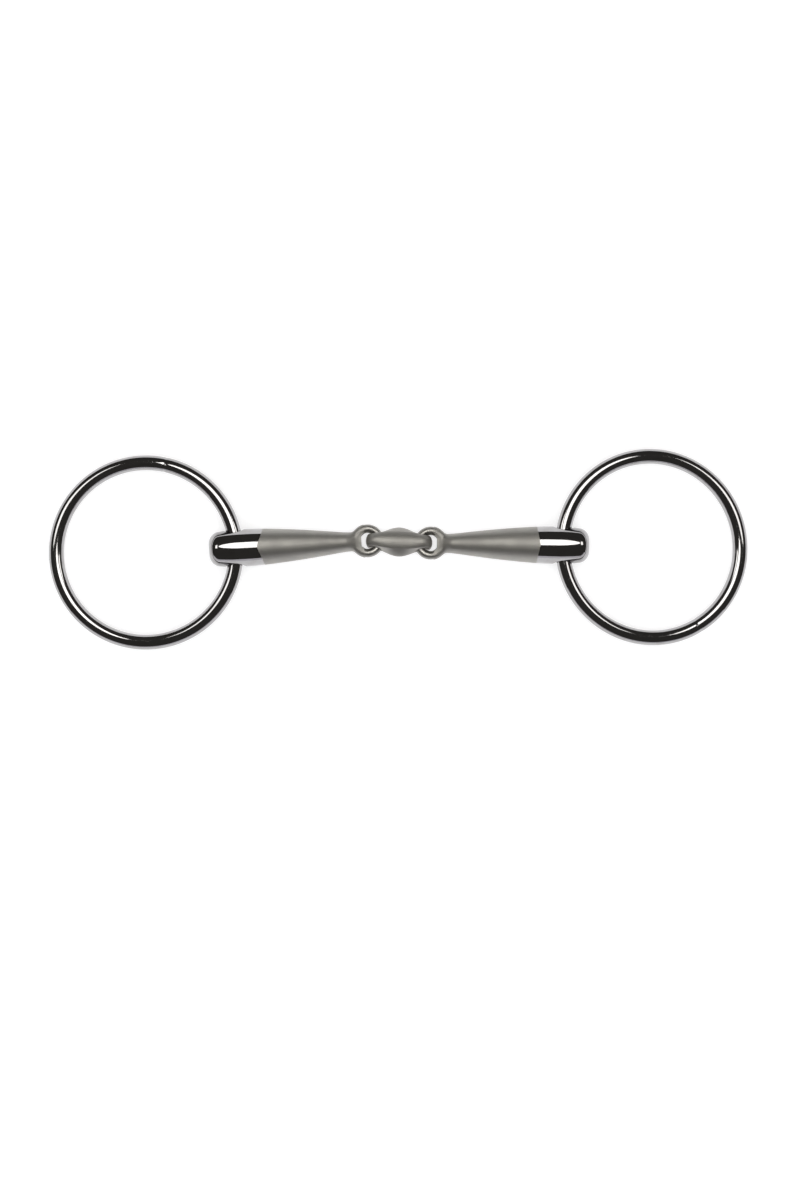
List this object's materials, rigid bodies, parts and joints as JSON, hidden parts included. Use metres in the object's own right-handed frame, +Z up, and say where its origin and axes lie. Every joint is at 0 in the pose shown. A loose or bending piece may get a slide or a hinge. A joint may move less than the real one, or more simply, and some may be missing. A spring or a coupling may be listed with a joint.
{
  "type": "snaffle bit",
  "caption": "Loose-ring horse bit: slim wire cheek rings through two tapered cannons that hook onto a small oval lozenge link.",
  "frame": {"origin": "on the surface the bit lies on, under the middle of its bounding box", "axes": "+X along the mouthpiece to the right ring, +Y across it, +Z up from the surface"},
  "size_m": [0.273, 0.0782, 0.0154],
  "materials": {
    "polished_steel": "mirror polished stainless steel",
    "satin_steel": "satin stainless steel, polished on the outer ends of the cannons"
  },
  "bodies": {
    "lozenge": {"lozenge_link": "satin_steel"},
    "left_arm": {"left_cannon": "satin_steel"},
    "right_arm": {"right_cannon": "satin_steel"},
    "left_cheek": {"left_ring": "polished_steel"},
    "right_cheek": {"right_ring": "polished_steel"}
  },
  "joints": [
    {"name": "left_fold", "type": "hinge", "parent": "lozenge", "child": "left_arm", "pos_m": [-0.01198, 0.00327, 0.00446], "axis": [0, 0, -1], "range_deg": [-45, 45]},
    {"name": "right_fold", "type": "hinge", "parent": "lozenge", "child": "right_arm", "pos_m": [0.01266, 0.00241, 0.00446], "axis": [0, 0, 1], "range_deg": [-45, 45]},
    {"name": "left_ring_swing", "type": "hinge", "parent": "left_arm", "child": "left_cheek", "pos_m": [-0.06349, 0.0003, 0.00774], "axis": [-0.0454, 0.999, 0], "range_deg": [-120, 120]},
    {"name": "right_ring_swing", "type": "hinge", "parent": "right_arm", "child": "right_cheek", "pos_m": [0.06425, 0.00146, 0.00774], "axis": [-0.0183, -0.9998, 0], "range_deg": [-120, 120]}
  ]
}
